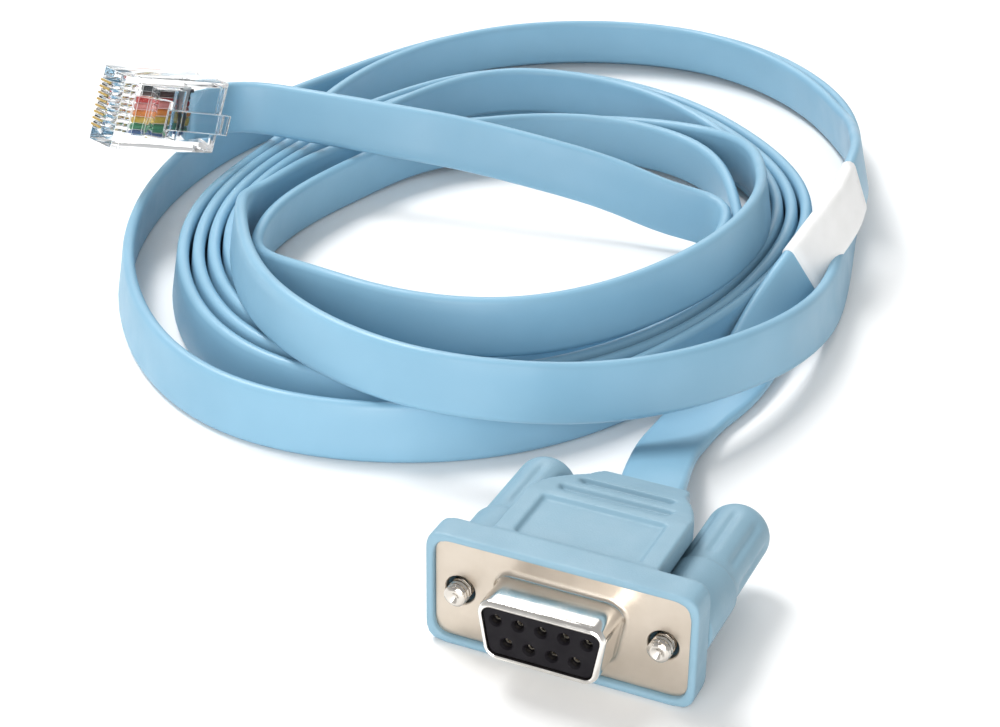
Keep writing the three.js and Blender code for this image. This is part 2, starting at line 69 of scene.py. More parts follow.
# %% Camera
CAMERA_PLACE = Vector((0.0804, -0.20635, 0.1573))
LOOK_TURN = math.radians(24.3)
LOOK_DOWN = math.radians(29.0)
CAMERA_ROLL = math.radians(0.68)
LENS = 81.83
SENSOR_WIDTH = 36

level_look = Vector((-math.sin(LOOK_TURN), math.cos(LOOK_TURN), 0))
look = level_look * math.cos(LOOK_DOWN) - Vector((0, 0, math.sin(LOOK_DOWN)))
right = look.cross(Vector((0, 0, 1))).normalized()
up = right.cross(look)
rolled_right = right * math.cos(CAMERA_ROLL) + up * math.sin(CAMERA_ROLL)
rolled_up = up * math.cos(CAMERA_ROLL) - right * math.sin(CAMERA_ROLL)

camera = bpy.data.objects.new("camera", bpy.data.cameras.new("camera"))
bpy.context.scene.collection.objects.link(camera)
camera.data.lens = LENS
camera.data.sensor_width = SENSOR_WIDTH
camera.data.sensor_fit = "HORIZONTAL"
camera.data.clip_start = 0.01
turn = Matrix((rolled_right, rolled_up, -look)).transposed().to_4x4()
camera.matrix_world = Matrix.Translation(CAMERA_PLACE) @ turn
bpy.context.scene.camera = camera
print("camera looks along", [round(c, 3) for c in look])

# %% [markdown]
# Each finish gets a small node tree. One helper makes the material, and others add what real
# surfaces have: a colour that wanders a little, a fine grain and uneven gloss. A value that
# doesn't change over the surface is set on the shader itself.

# %% A helper for finishes


def finish(name, color, roughness=0.5, metallic=0.0, **sockets):
    """A new material with its shader's own sockets set."""
    made = bpy.data.materials.new(name)
    made.use_nodes = True
    shader = made.node_tree.nodes["Principled BSDF"]
    shader.inputs["Base Color"].default_value = (*color, 1)
    shader.inputs["Roughness"].default_value = roughness
    shader.inputs["Metallic"].default_value = metallic
    for socket, value in sockets.items():
        shader.inputs[socket.replace("_", " ")].default_value = value
    return made


def add(made, kind, **values):
    """A node of the given kind, with its sockets or settings set by name."""
    node = made.node_tree.nodes.new(kind)
    for name, value in values.items():
        socket = node.inputs.get(name.replace("_", " "))
        if socket is not None:
            socket.default_value = value
        else:
            setattr(node, name, value)
    return node


def link_up(made, source, output, target, socket):
    made.node_tree.links.new(source.outputs[output], target.inputs[socket])


def shader_of(made):
    return made.node_tree.nodes["Principled BSDF"]


NOISE_DETAIL = 3.0
GRAIN_DETAIL = 4.0
NOISE_LOW = 0.35
NOISE_HIGH = 0.65


def mottle(made, scale, low, high):
    """Colour that wanders between two shades over the surface, as in real plastic."""
    place = add(made, "ShaderNodeTexCoord")
    noise = add(made, "ShaderNodeTexNoise", Scale=scale, Detail=NOISE_DETAIL)
    ramp = add(made, "ShaderNodeValToRGB")
    ramp.color_ramp.elements[0].position = NOISE_LOW
    ramp.color_ramp.elements[0].color = (*low, 1)
    ramp.color_ramp.elements[1].position = NOISE_HIGH
    ramp.color_ramp.elements[1].color = (*high, 1)
    link_up(made, place, "Object", noise, "Vector")
    link_up(made, noise, "Fac", ramp, "Fac")
    link_up(made, ramp, "Color", shader_of(made), "Base Color")


def grain(made, scale, depth):
    """A fine uneven surface. Its depth is in metres."""
    place = add(made, "ShaderNodeTexCoord")
    noise = add(made, "ShaderNodeTexNoise", Scale=scale, Detail=GRAIN_DETAIL)
    bump = add(made, "ShaderNodeBump", Strength=1.0, Distance=depth)
    link_up(made, place, "Object", noise, "Vector")
    link_up(made, noise, "Fac", bump, "Height")
    link_up(made, bump, "Normal", shader_of(made), "Normal")


def smudges(made, scale, low, high):
    """Roughness that wanders, so that gloss is uneven."""
    place = add(made, "ShaderNodeTexCoord")
    noise = add(made, "ShaderNodeTexNoise", Scale=scale, Detail=NOISE_DETAIL)
    spread = add(
        made, "ShaderNodeMapRange", From_Min=NOISE_LOW, From_Max=NOISE_HIGH, To_Min=low, To_Max=high
    )
    link_up(made, place, "Object", noise, "Vector")
    link_up(made, noise, "Fac", spread, "Value")
    link_up(made, spread, "Result", shader_of(made), "Roughness")


print("finish helpers ready")

# %% [markdown]
# The cord's jacket is soft blue vinyl, extruded, so it is smooth with faint streaks. The
# moulded hood is the same vinyl from a spark-eroded mould, so it is duller and has a grain.

# %% Blue vinyl
jacket_vinyl = finish("jacket_vinyl", (0.215, 0.41, 0.55), 0.42)
mottle(jacket_vinyl, 60, (0.205, 0.395, 0.533), (0.227, 0.427, 0.57))
grain(jacket_vinyl, 900, 0.00001)
smudges(jacket_vinyl, 150, 0.36, 0.5)
moulded_vinyl = finish("moulded_vinyl", (0.205, 0.345, 0.435), 0.5)
mottle(moulded_vinyl, 120, (0.198, 0.335, 0.423), (0.215, 0.36, 0.452))
grain(moulded_vinyl, 4500, 0.00003)
smudges(moulded_vinyl, 300, 0.42, 0.58)

# %% [markdown]
# The flange is stamped steel with satin nickel plating, warm against the white table. The
# collar is polished where it was drawn, and its nickel there is also painted lighter: a
# painted highlight. The jackscrews are bright. The plug's blades are gold plated, the sockets
# look paler in the photograph, and the insert is black nylon.

# %% Metal and black plastic
nickel = finish("satin_nickel", (0.6, 0.53, 0.45), 0.34, 1.0)
mottle(nickel, 300, (0.58, 0.51, 0.43), (0.62, 0.55, 0.47))
grain(nickel, 2500, 0.000006)
bright_nickel = finish("bright_nickel", (0.66, 0.62, 0.57), 0.18, 1.0)
grain(bright_nickel, 1500, 0.000004)
smudges(bright_nickel, 500, 0.1, 0.22)
# The collar's nickel is the flange's plating, glossier and painted lighter: a painted highlight.
polished_nickel_painted_highlight = finish("polished_nickel_painted_highlight", (0.86, 0.83, 0.79), 0.16, 1.0)
smudges(polished_nickel_painted_highlight, 350, 0.1, 0.22)
gold = finish("gold_plating", (0.86, 0.62, 0.24), 0.2, 1.0)
smudges(gold, 900, 0.15, 0.3)
flash_gold = finish("flash_gold", (0.78, 0.71, 0.58), 0.25, 1.0)
smudges(flash_gold, 900, 0.2, 0.35)
black_nylon = finish("black_nylon", (0.008, 0.007, 0.009), 0.5, Specular_IOR_Level=0.12)
mottle(black_nylon, 500, (0.006, 0.005, 0.007), (0.01, 0.009, 0.011))
grain(black_nylon, 3500, 0.00001)

# %% [markdown]
# The plug is clear polycarbonate. Full transmission with a little roughness shows the
# coloured wires behind it. The index of refraction is chosen well under the real 1.58, because
# the model's plain hollows would bend more light than the photograph shows. The edges are made
# less clear and diffuse white: a painted highlight of the light they catch.

# %% Clear plastic, label and wires
clear_plastic = finish(
    "clear_polycarbonate", (0.99, 0.995, 1.0), 0.03, Transmission_Weight=1.0, IOR=1.22
)
smudges(clear_plastic, 400, 0.015, 0.05)
# The bevels' finish: less clear and diffuse white, a painted highlight on the plug's edges.
painted_highlight_edge = finish(
    "painted_highlight_edge", (0.97, 0.98, 0.98), 0.45, Transmission_Weight=0.55, IOR=1.22
)
smudges(painted_highlight_edge, 400, 0.35, 0.55)
label_vinyl = finish("label_vinyl", (0.86, 0.86, 0.85), 0.35)
mottle(label_vinyl, 200, (0.83, 0.83, 0.82), (0.88, 0.88, 0.875))
grain(label_vinyl, 400, 0.00002)

WIRE_COLORS = {
    "wire_black": (0.03, 0.032, 0.036),
    "wire_brown": (0.07, 0.035, 0.03),
    "wire_red": (0.5, 0.035, 0.03),
    "wire_pink": (0.65, 0.22, 0.19),
    "wire_orange": (0.72, 0.22, 0.03),
    "wire_yellow": (0.6, 0.4, 0.04),
    "wire_green": (0.06, 0.26, 0.12),
    "wire_blue": (0.1, 0.17, 0.36),
}
WIRE_SHADE = 0.85
wire_finishes = {}
for wire_name, wire_color in WIRE_COLORS.items():
    wire_finishes[wire_name] = finish(wire_name, wire_color, 0.4)
    darker = tuple(c * WIRE_SHADE for c in wire_color)
    mottle(wire_finishes[wire_name], 700, darker, wire_color)
print("finishes:", len(bpy.data.materials))

# %% [markdown]
# The cord is one flat strip, 8.5 mm wide and 1.8 mm thick, that stands on its edge for most
# of its way. Its route is listed from the plug to the connector. Each station is a place of
# its centre and the lean of its width from upright, in degrees: 0 stands on edge, 90 lies flat.
# The first stretch leaves the plug, which the springy cord holds up, and crosses the coil.
# The solid model's cord reaches 8.2 mm into the plug. The photograph shows the jacket cut
# further back, so the wires can be seen for longer.

# %% The free stretch at the plug
CORD_WIDTH = 8.5
CORD_THICK = 1.8
CORD_IN_PLUG_MODEL = 8.2
CORD_IN_PLUG = 5.4
PLUG_REAR = Vector((-103.5, 95.5, 14.2))
PLUG_AXIS = Vector((-0.258, -0.907, 0.332)).normalized()
PLUG_SIDE_GUESS = Vector((-0.14, -0.305, -0.942))
PLUG_SIDE = (PLUG_SIDE_GUESS - PLUG_AXIS * PLUG_SIDE_GUESS.dot(PLUG_AXIS)).normalized()
LATCH_SIDE = PLUG_AXIS.cross(PLUG_SIDE)

TO_PLUG_ROUTE = [
    (-100.6, 100.6, 13.4, 6),
    (-96.2, 102.3, 13.5, 18),
    (-89.6, 102.6, 13.7, 21),
    (-82.9, 103, 13.6, 22),
    (-76.2, 103.6, 13.5, 22),
    (-63.2, 105.7, 12.6, 20),
    (-50, 107.5, 11, 18),
    (-37.2, 109, 8.8, 15),
    (-27.6, 109.4, 6.4, 12),
    (-21.4, 109.8, 5.3, 9),
]


PLUG_STATION_SHARES = 1, 0.66, 0.33, 0, -0.25


def level_and_upright(along):
    level = Vector((0, 0, 1)).cross(along).normalized()
    return level, along.cross(level).normalized()


def stations_in_plug():
    level, upright = level_and_upright(-PLUG_AXIS)
    lean = math.degrees(math.atan2(-PLUG_SIDE.dot(level), -PLUG_SIDE.dot(upright)))
    places = [PLUG_REAR + PLUG_AXIS * CORD_IN_PLUG * share for share in PLUG_STATION_SHARES]
    return [(*place, lean) for place in places]


# %% [markdown]
# The coil has seven turns. Each row below is one turn: the distance of the cord's centre
# from the coil's centre in twelve directions, thirty degrees apart and clockwise, starting at
# the picture's right. Some turns ride over others, so they have heights too. All lean in a
# little at the top.

# %% The coil's turns
COIL_CENTRE = (-53.5, 100.7)
COIL_TURN = math.radians(24.3)
TURN_STEP = math.radians(30)
TURNS = [
    (None, 37, 44, 51.2, 53.7, 46.6, 39.5, 35.8, 38.5, 46.6, 46.2, 43.6),
    (43.7, 44, 49.3, 57.5, 60, 51.6, 43.7, 40.2, 42.9, 51, 50.6, 48),
    (48.2, 48.4, 53.7, 66, 71, 62.3, 55.6, 54, 57.8, 72.2, 79.4, 68.5),
    (55, 56.4, 65.3, 71.6, 59.8, 44.6, 37.4, 32.4, 29.6, 29.8, 34.6, 41.5),
    (40.6, 43.2, 48.4, 54.8, 51.8, 42.2, 32.2, 26.4, 26, 27.5, 32.3, 37.4),
    (37, 40.6, 46.7, 54.4, 56.8, 49.1, 41.6, 38, 40.7, 48.8, 48.4, 45.8),
    (45.9, 46.4, 52, 60.6, 63.1, 54.1, 45.8, 42.6, 53.4, 70.2, 77.4, 66.5),
]
TURN_HEIGHTS = {
    0: (0, 0, 0, 0, 0, 0, 0, 0, 0.9, 1.9, 1.7, 0.6),
    3: (0, 0, 5, 8.9, 8.9, 8, 0.5, 0, 0, 0, 0, 1.5),
    4: (6, 8.9, 8.9, 8.9, 8.9, 1.5, 0, 0, 0.8, 1.1, 1.1, 0.5),
    6: (0, 0, 0, 0, 0, 0, 0, 0, 0.3, 0.9, 0.9, 0.4),
}
COIL_LEAN = -9
LEANING_HEIGHT = (
    CORD_WIDTH / 2 * math.cos(math.radians(COIL_LEAN))
    - CORD_THICK / 4 * math.sin(math.radians(COIL_LEAN))
)


def coil_stations():
    stations = []
    for number, radii in enumerate(TURNS):
        heights = TURN_HEIGHTS.get(number, [0] * len(radii))
        for step, radius in enumerate(radii):
            if radius is None:
                continue
            angle = COIL_TURN - step * TURN_STEP
            x = COIL_CENTRE[0] + radius * math.cos(angle)
            y = COIL_CENTRE[1] + radius * math.sin(angle)
            stations.append((x, y, heights[step] + LEANING_HEIGHT, COIL_LEAN))
    return stations


# %% [markdown]
# From the last turn the cord climbs on the others, leans inwards under its label, dives
# between two turns, turns flat under the front ones and rises into the hood.

# %% The free stretch at the connector
LABEL_ROUTE = [
    (-5.2, 131.5, 11, -8),
    (-2.7, 124, 12.9, -16),
    (-1.3, 116.6, 12.9, -20),
    (-0.4, 108.8, 12.5, -22),
]
DIVE_ROUTE = [
    (-0.8, 102.4, 11.6, -22),
    (-2, 93, 8.6, -24),
    (-2.8, 83.9, 5.6, -40),
    (-2.8, 74.1, 2.6, -72),
    (-3.7, 64.5, 1.3, -90),
    (-4.9, 58, 1.2, -90),
]
TO_CONNECTOR_ROUTE = [
    (-5.1, 54, 1.2, -90),
    (-4.9, 48.6, 1.8, -90),
    (-3.5, 41.4, 4.2, -90),
    (-1.9, 35, 6.3, -90),
    (-0.9, 30.4, 7.2, -90),
    (-0.6, 27, 7.5, -90),
]

# %% [markdown]
# A spline that keeps its curvature smooth runs through the stations in plan. Heights and
# leans are blended along it and then evened out, so that they never overshoot: the cord
# doesn't dip through the table.

# %% One smooth path
RING_STEP = 2.0
FINE_STEP = 0.5
EVEN_OUT = 5.0


def smooth_line(knots, values, wanted):
    """A cubic spline through the values, with no bend at its ends."""
    knots = np.asarray(knots, float)
    values = np.asarray(values, float)
    gaps = np.diff(knots)
    slopes = np.diff(values) / gaps
    size = len(knots)
    matrix = np.eye(size)
    side = np.zeros(size)
    for i in range(1, size - 1):
        matrix[i, i - 1] = gaps[i - 1]
        matrix[i, i] = 2 * (gaps[i - 1] + gaps[i])
        matrix[i, i + 1] = gaps[i]
        side[i] = 6 * (slopes[i] - slopes[i - 1])
    bend = np.linalg.solve(matrix, side)
    cell = np.clip(np.searchsorted(knots, wanted) - 1, 0, size - 2)
    gap = gaps[cell]
    before = (knots[cell + 1] - wanted) / gap
    after = (wanted - knots[cell]) / gap
    curve = before * values[cell] + after * values[cell + 1]
    curve += ((before**3 - before) * bend[cell] + (after**3 - after) * bend[cell + 1]) * gap**2 / 6
    return curve


def evened(values):
    """Values blurred along the cord, with its ends held."""
    reach = int(3 * EVEN_OUT / FINE_STEP)
    offsets = np.arange(-reach, reach + 1) * FINE_STEP
    weights = np.exp(-0.5 * (offsets / EVEN_OUT) ** 2)
    padded = np.concatenate([np.full(reach, values[0]), values, np.full(reach, values[-1])])
    return np.convolve(padded, weights / weights.sum(), mode="valid")


def cord_path():
    """The cord's ring centres and leans, from the plug to the connector."""
    stations = stations_in_plug() + TO_PLUG_ROUTE + coil_stations()
    stations = np.array(stations + LABEL_ROUTE + DIVE_ROUTE + TO_CONNECTOR_ROUTE)
    plan_steps = np.linalg.norm(np.diff(stations[:, :3], axis=0), axis=1)
    knots = np.concatenate([[0], np.cumsum(plan_steps)])
    wanted = np.arange(0, knots[-1], FINE_STEP)
    x = smooth_line(knots, stations[:, 0], wanted)
    y = smooth_line(knots, stations[:, 1], wanted)
    z = evened(np.interp(wanted, knots, stations[:, 2]))
    lean = evened(np.interp(wanted, knots, stations[:, 3]))
    dense = np.stack([x, y, z, lean], axis=1)
    run = np.concatenate([[0], np.cumsum(np.linalg.norm(np.diff(dense[:, :3], axis=0), axis=1))])
    rings = int(run[-1] / RING_STEP)
    places = np.linspace(0, run[-1], rings + 1)
    path = np.stack([np.interp(places, run, dense[:, i]) for i in range(4)], axis=1)
    return path, places


cord_rings, cord_run = cord_path()

# %% [markdown]
# The strip's section is a stadium: flat faces and round edges. It is drawn once and set at
# each ring, with its long side along the cord's width.

# %% The strip's mesh


def stadium(width, thick, corner_steps=6, face_steps=4):
    """Points of a section with round edges, as distances along its width and its thickness."""
    radius = thick / 2
    straight = width / 2 - radius
    points = []
    for end in (1, -1):
        for i in range(corner_steps + 1):
            angle = -math.pi / 2 + math.pi * i / corner_steps
            along_width = straight + radius * math.cos(angle)
            points.append((end * along_width, end * radius * math.sin(angle)))
        for i in range(1, face_steps):
            share = 1 - 2 * i / face_steps
            points.append((end * straight * share, end * radius))
    return points


def ring_frames(rings):
    """For each ring: its centre, the direction of the width and that of the thickness."""
    centres = rings[:, :3]
    along = np.gradient(centres, axis=0)
    frames = []
    for centre, direction, lean in zip(centres, along, np.radians(rings[:, 3])):
        direction = Vector(direction).normalized()
        level, upright = level_and_upright(direction)
        width = upright * math.cos(lean) + level * math.sin(lean)
        frames.append((Vector(centre), width, direction.cross(width).normalized()))
    return frames


def swept(name, frames, section):
    """A closed mesh of one section set at each frame."""
    points = []
    for centre, width, thick in frames:
        points.extend(at(*(centre + width * w + thick * t)) for w, t in section)
    count = len(section)
    faces = []
    for ring in range(len(frames) - 1):
        for i in range(count):
            j = (i + 1) % count
            a, b = ring * count, (ring + 1) * count
            faces.append((a + i, b + i, b + j, a + j))
    faces.append(tuple(range(count)))
    last = (len(frames) - 1) * count
    faces.append(tuple(last + i for i in reversed(range(count))))
    return mesh_object(name, points, faces)


def mesh_object(name, points, faces, smooth=True):
    mesh = bpy.data.meshes.new(name)
    mesh.from_pydata([tuple(p) for p in points], [], faces)
    mesh.validate()
    made = bpy.data.objects.new(name, mesh)
    bpy.context.scene.collection.objects.link(made)
    tidy = bmesh.new()
    tidy.from_mesh(mesh)
    bmesh.ops.recalc_face_normals(tidy, faces=tidy.faces)
    tidy.to_mesh(mesh)
    tidy.free()
    for polygon in mesh.polygons:
        polygon.use_smooth = smooth
    return made


def belongs(piece, body, slot, *replaced):
    """Says which body a piece moves with and which nodes it stands for. Its slot is not used."""
    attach(piece, body)
    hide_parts(*replaced)


cord_frames = ring_frames(cord_rings)
cord = swept("flat_cord", cord_frames, stadium(CORD_WIDTH, CORD_THICK))
cord.data.materials.append(jacket_vinyl)
belongs(cord, "cable", "blue_vinyl", "cable_to_plug", "cable_coil", "cable_to_connector")
print("cord faces:", len(cord.data.polygons))

# %% [markdown]
# The white label is a wrap of thin vinyl round the cord. It is swept along the same path as a
# slightly larger section, only where it sits.

# %% The wrap label
LABEL_ENDS = (-1.2, 115.5), (-2.4, 87)
LABEL_THICK = 0.22
ABOVE_COIL = 8


def nearest_ring(x, y, rings):
    """The ring nearest a place in plan, among those that are above the coil."""
    far = np.hypot(rings[:, 0] - x, rings[:, 1] - y)
    far[rings[:, 2] < ABOVE_COIL] = np.inf
    return int(np.argmin(far))


label_from, label_to = (nearest_ring(x, y, cord_rings) for x, y in LABEL_ENDS)
label = swept(
    "wrap_label",
    cord_frames[label_from : label_to + 1],
    stadium(CORD_WIDTH + 2 * LABEL_THICK, CORD_THICK + 2 * LABEL_THICK),
)
label.data.materials.append(label_vinyl)
belongs(label, "cable", "label_vinyl", "cable_label")
print("label rings:", label_from, "to", label_to)

# %% [markdown]
# The hood was moulded round the connector, and no edge of a moulding is sharp. The solid model
# already has its form, so a copy of that mesh is remade of small even faces and smoothed a few
# times, which rounds every edge alike. A bevel could be no wider than the narrowest ridge.

# %% Copies of the solid model's meshes


def copy_of(name, node, *made):
    """A new object with a copy of a node's mesh and the given finishes."""
    piece = bpy.data.objects.new(name, nodes[node].data.copy())
    bpy.context.scene.collection.objects.link(piece)
    dress(piece, *made)
    return piece


def dress(piece, *made):
    piece.data.materials.clear()
    for finish_made in made:
        piece.data.materials.append(finish_made)


def apply_modifiers(piece):
    """Makes what the modifiers give the piece's own mesh."""
    bpy.context.view_layer.update()
    evaluated = piece.evaluated_get(bpy.context.evaluated_depsgraph_get())
    mesh = bpy.data.meshes.new_from_object(evaluated)
    piece.modifiers.clear()
    piece.data = mesh


def smooth_by_angle(piece, degrees):
    for polygon in piece.data.polygons:
        polygon.use_smooth = True
    piece.data.set_sharp_from_angle(angle=math.radians(degrees))


# %% [markdown]
# Behind its rim the real hood is also convex: its sides and top swell towards the middle of the
# taper. A sine along the length pushes the points out by a small share.

# %% Moulded hood
VOXEL = 0.24
SMOOTH_ROUNDS = 5
BELL_START = 13.6
BELL_LENGTH = 15.0
BELL_SIDES = 0.13
BELL_TOP = 0.08


def melt(piece):
    remesh = piece.modifiers.new("even_faces", "REMESH")
    remesh.mode = "VOXEL"
    remesh.voxel_size = VOXEL * MM
    apply_modifiers(piece)


def soften_and_swell(piece):
    shape = bmesh.new()
    shape.from_mesh(piece.data)
    for _ in range(SMOOTH_ROUNDS):
        bmesh.ops.smooth_vert(
            shape, verts=shape.verts, factor=0.5, use_axis_x=True, use_axis_y=True, use_axis_z=True
        )
    for vert in shape.verts:
        past = vert.co.y / MM - PLATE_Y - BELL_START
        if past > 0:
            rise = math.sin(math.pi * min(1, past / BELL_LENGTH))
            vert.co.x *= 1 + BELL_SIDES * rise
            vert.co.z += (vert.co.z - PLATE_Z * MM) * BELL_TOP * rise
    shape.to_mesh(piece.data)
    shape.free()


hood = copy_of("moulded_hood", "connector_hood")
melt(hood)
soften_and_swell(hood)
dress(hood, moulded_vinyl)
for polygon in hood.data.polygons:
    polygon.use_smooth = True
belongs(hood, "cable", "blue_vinyl", "connector_hood")
print("hood faces:", len(hood.data.polygons))

# %% [markdown]
# The front shell is drawn from one steel sheet: the D-shaped collar rises from the flange in
# a smooth round and rolls in at its mouth. Loops of points drawn around the D, each a little
# wider or narrower, make that profile. The flange face is filled between loops.

# %% Outlines of the front
SHELL_WIDTH = 16.3
SHELL_HEIGHT = 7.9
SHELL_SLANT = math.radians(10)
SHELL_CORNER = 1.9
CORNER_STEPS = 8


def round_outline(corners, radius, steps=CORNER_STEPS):
    """Points round a closed outline, anticlockwise, with each corner an arc."""
    points = []
    for i, corner in enumerate(corners):
        corner = Vector(corner)
        before = (Vector(corners[i - 1]) - corner).normalized()
        after = (Vector(corners[(i + 1) % len(corners)]) - corner).normalized()
        half = before.angle(after) / 2
        centre = corner + (before + after).normalized() * radius / math.sin(half)
        start = corner + before * radius / math.tan(half) - centre
        sweep = math.pi - 2 * half
        for step in range(steps + 1):
            turn_by = sweep * step / steps
            c, s = math.cos(turn_by), math.sin(turn_by)
            points.append(
                (centre.x + start.x * c - start.y * s, centre.y + start.x * s + start.y * c)
            )
    return points


def d_outline(outward):
    """The D of the collar, moved outwards by a distance."""
    top = SHELL_WIDTH / 2 + outward
    high = SHELL_HEIGHT / 2 + outward
    low = top - 2 * high * math.tan(SHELL_SLANT)
    corners = [(-low, -high), (low, -high), (top, high), (-top, high)]
    return round_outline(corners, max(0.3, SHELL_CORNER + outward))


def rectangle_outline(width, height, radius):
    x, z = width / 2, height / 2
    return round_outline([(-x, -z), (x, -z), (x, z), (-x, z)], radius)


def circle_outline(x, z, radius, steps=32):
    angles = [2 * math.pi * i / steps for i in range(steps)]
    return [(x + radius * math.cos(a), z + radius * math.sin(a)) for a in angles]


# %% [markdown]
# A small builder keeps the loops: it adds one at a depth, joins two loops with a wall, and
# fills the face between an outer loop and its holes.

# %% A builder for loops, walls and faces


class Loops:
    """A mesh made of loops of points, drawn on planes across the connector's length."""

    def __init__(self):
        self.shape = bmesh.new()

    def loop(self, outline, y):
        return [self.shape.verts.new(at(x, y, z + PLATE_Z)) for x, z in outline]

    def wall(self, one, other):
        count = len(one)
        for i in range(count):
            j = (i + 1) % count
            self.shape.faces.new((one[i], one[j], other[j], other[i]))

    def walls(self, loops):
        for one, other in zip(loops, loops[1:]):
            self.wall(one, other)

    def fill(self, *loops):
        edges = []
        for loop in loops:
            for i, vert in enumerate(loop):
                pair = (vert, loop[(i + 1) % len(loop)])
                edges.append(self.shape.edges.get(pair) or self.shape.edges.new(pair))
        bmesh.ops.triangle_fill(self.shape, edges=edges, use_beauty=True)

    def piece(self, name, made, degrees=35):
        bmesh.ops.recalc_face_normals(self.shape, faces=self.shape.faces)
        mesh = bpy.data.meshes.new(name)
        self.shape.to_mesh(mesh)
        self.shape.free()
        built = bpy.data.objects.new(name, mesh)
        bpy.context.scene.collection.objects.link(built)
        mesh.materials.append(made)
        smooth_by_angle(built, degrees)
        return built


# %% [markdown]
# The flange is 30.8 by 12.5 mm with its two screw holes 25 mm apart, as on every connector of
# this size. Here it is 0.6 mm wider and higher, so that its edge runs under the hood's rim. The
# list of steps gives the collar's profile, as how far it stands out from the D and at which
# depth, from the flange to its mouth and back inside. The drawn part is polished, and it is
# painted lighter than the flange as a painted highlight.

# %% Front shell
PLATE_WIDTH = 30.8
PLATE_HEIGHT = 12.5
PLATE_THICK = 0.8
PLATE_CORNER = 1.8
PLATE_UNDER_RIM = 0.6
EDGE_ROUND = 0.1
HOLE_ROUND = 0.12
POLISHED_AND_HIGHLIGHT_FROM = -0.3
SCREW_PLACES = (-12.5, 12.5)
SCREW_HOLE = 1.85
COLLAR_STEPS = [
    (0.85, 0),
    (0.6, -0.05),
    (0.36, -0.17),
    (0.16, -0.38),
    (0.04, -0.65),
    (0, -0.95),
    (0, -5.1),
    (-0.05, -5.4),
    (-0.18, -5.65),
    (-0.38, -5.82),
    (-0.6, -5.88),
    (-0.76, -5.8),
    (-0.78, -5.5),
    (-0.78, 0.8),
]


def make_front_shell():
    build = Loops()
    width, height = PLATE_WIDTH + PLATE_UNDER_RIM, PLATE_HEIGHT + PLATE_UNDER_RIM
    edge = rectangle_outline(width, height, PLATE_CORNER)
    edge_in = rectangle_outline(
        width - 2 * EDGE_ROUND, height - 2 * EDGE_ROUND, PLATE_CORNER - EDGE_ROUND
    )
    rims = [build.loop(edge_in, 0), build.loop(edge, HOLE_ROUND), build.loop(edge, PLATE_THICK)]
    holes = []
    for x in SCREW_PLACES:
        wide = circle_outline(x, 0, SCREW_HOLE + HOLE_ROUND)
        narrow = circle_outline(x, 0, SCREW_HOLE)
        mouth, throat = build.loop(wide, 0), build.loop(narrow, HOLE_ROUND)
        holes.append([mouth, throat, build.loop(narrow, PLATE_THICK)])
    collar = [build.loop(d_outline(out), y) for out, y in COLLAR_STEPS]
    for stack in (rims, collar, *holes):
        build.walls(stack)
    build.fill(rims[0], collar[0], holes[0][0], holes[1][0])
    build.fill(rims[-1], collar[-1], holes[0][-1], holes[1][-1])
    return build.piece("drawn_shell", nickel, 40)


shell = make_front_shell()
# The drawn collar takes the glossier nickel, which is painted lighter: a painted highlight.
shell.data.materials.append(polished_nickel_painted_highlight)
for polygon in shell.data.polygons:
    if polygon.center.y / MM - PLATE_Y < POLISHED_AND_HIGHLIGHT_FROM:
        polygon.material_index = 1
belongs(shell, "cable", "nickel", "front_shell")
print("shell faces:", len(shell.data.polygons))

# %% [markdown]
# The insert carries nine sockets, five over four. Each mouth has a small funnel that guides
# a pin in.

# %% Socket insert
CONTACT_PITCH = 2.77
CONTACT_ROWS = 2.84
INSERT_FRONT = -5.55
INSERT_BACK = 2.8
INSERT_INSIDE = -0.85
INSERT_CHAMFER = 0.15
SOCKET_RADIUS = 0.6
FUNNEL_RADIUS = 0.82
FUNNEL_DEPTH = 0.3
SOCKET_SIDES = 20


def socket_places():
    top = [((i - 2) * CONTACT_PITCH, CONTACT_ROWS / 2) for i in range(5)]
    bottom = [((i - 1.5) * CONTACT_PITCH, -CONTACT_ROWS / 2) for i in range(4)]
    return top + bottom


def make_insert():
    build = Loops()
    body = [
        build.loop(d_outline(INSERT_INSIDE - INSERT_CHAMFER), INSERT_FRONT),
        build.loop(d_outline(INSERT_INSIDE), INSERT_FRONT + INSERT_CHAMFER),
        build.loop(d_outline(INSERT_INSIDE), INSERT_BACK),
    ]
    mouths = []
    for x, z in socket_places():
        funnel = circle_outline(x, z, FUNNEL_RADIUS, SOCKET_SIDES)
        socket = circle_outline(x, z, SOCKET_RADIUS, SOCKET_SIDES)
        mouth = build.loop(funnel, INSERT_FRONT)
        throat = build.loop(socket, INSERT_FRONT + FUNNEL_DEPTH)
        mouths.append([mouth, throat, build.loop(socket, INSERT_BACK)])
    for stack in (body, *mouths):
        build.walls(stack)
    build.fill(body[0], *[mouth[0] for mouth in mouths])
    build.fill(body[-1], *[mouth[-1] for mouth in mouths])
    return build.piece("nylon_insert", black_nylon)


insert = make_insert()
belongs(insert, "cable", "black_plastic", "socket_insert")
print("insert faces:", len(insert.data.polygons))

# %% [markdown]
# Each thumbscrew has a thick plain collar, a slimmer fluted handle and a domed end. The flutes
# are cut only into the handle, so the radius depends on both the place along the screw and
# the angle around it.

# %% Thumb grips
GRIP_START = 3.7
COLLAR_RADIUS = 4.35
COLLAR_END = 12.6
COLLAR_ROUND = 0.5
STEP_DOWN = 0.9
GRIP_RADIUS = 3.95
GRIP_END = 27.8
DOME_LENGTH = 3.1
FLUTES = 8
FLUTE_DEPTH = 0.32
GRIP_SIDES = 96


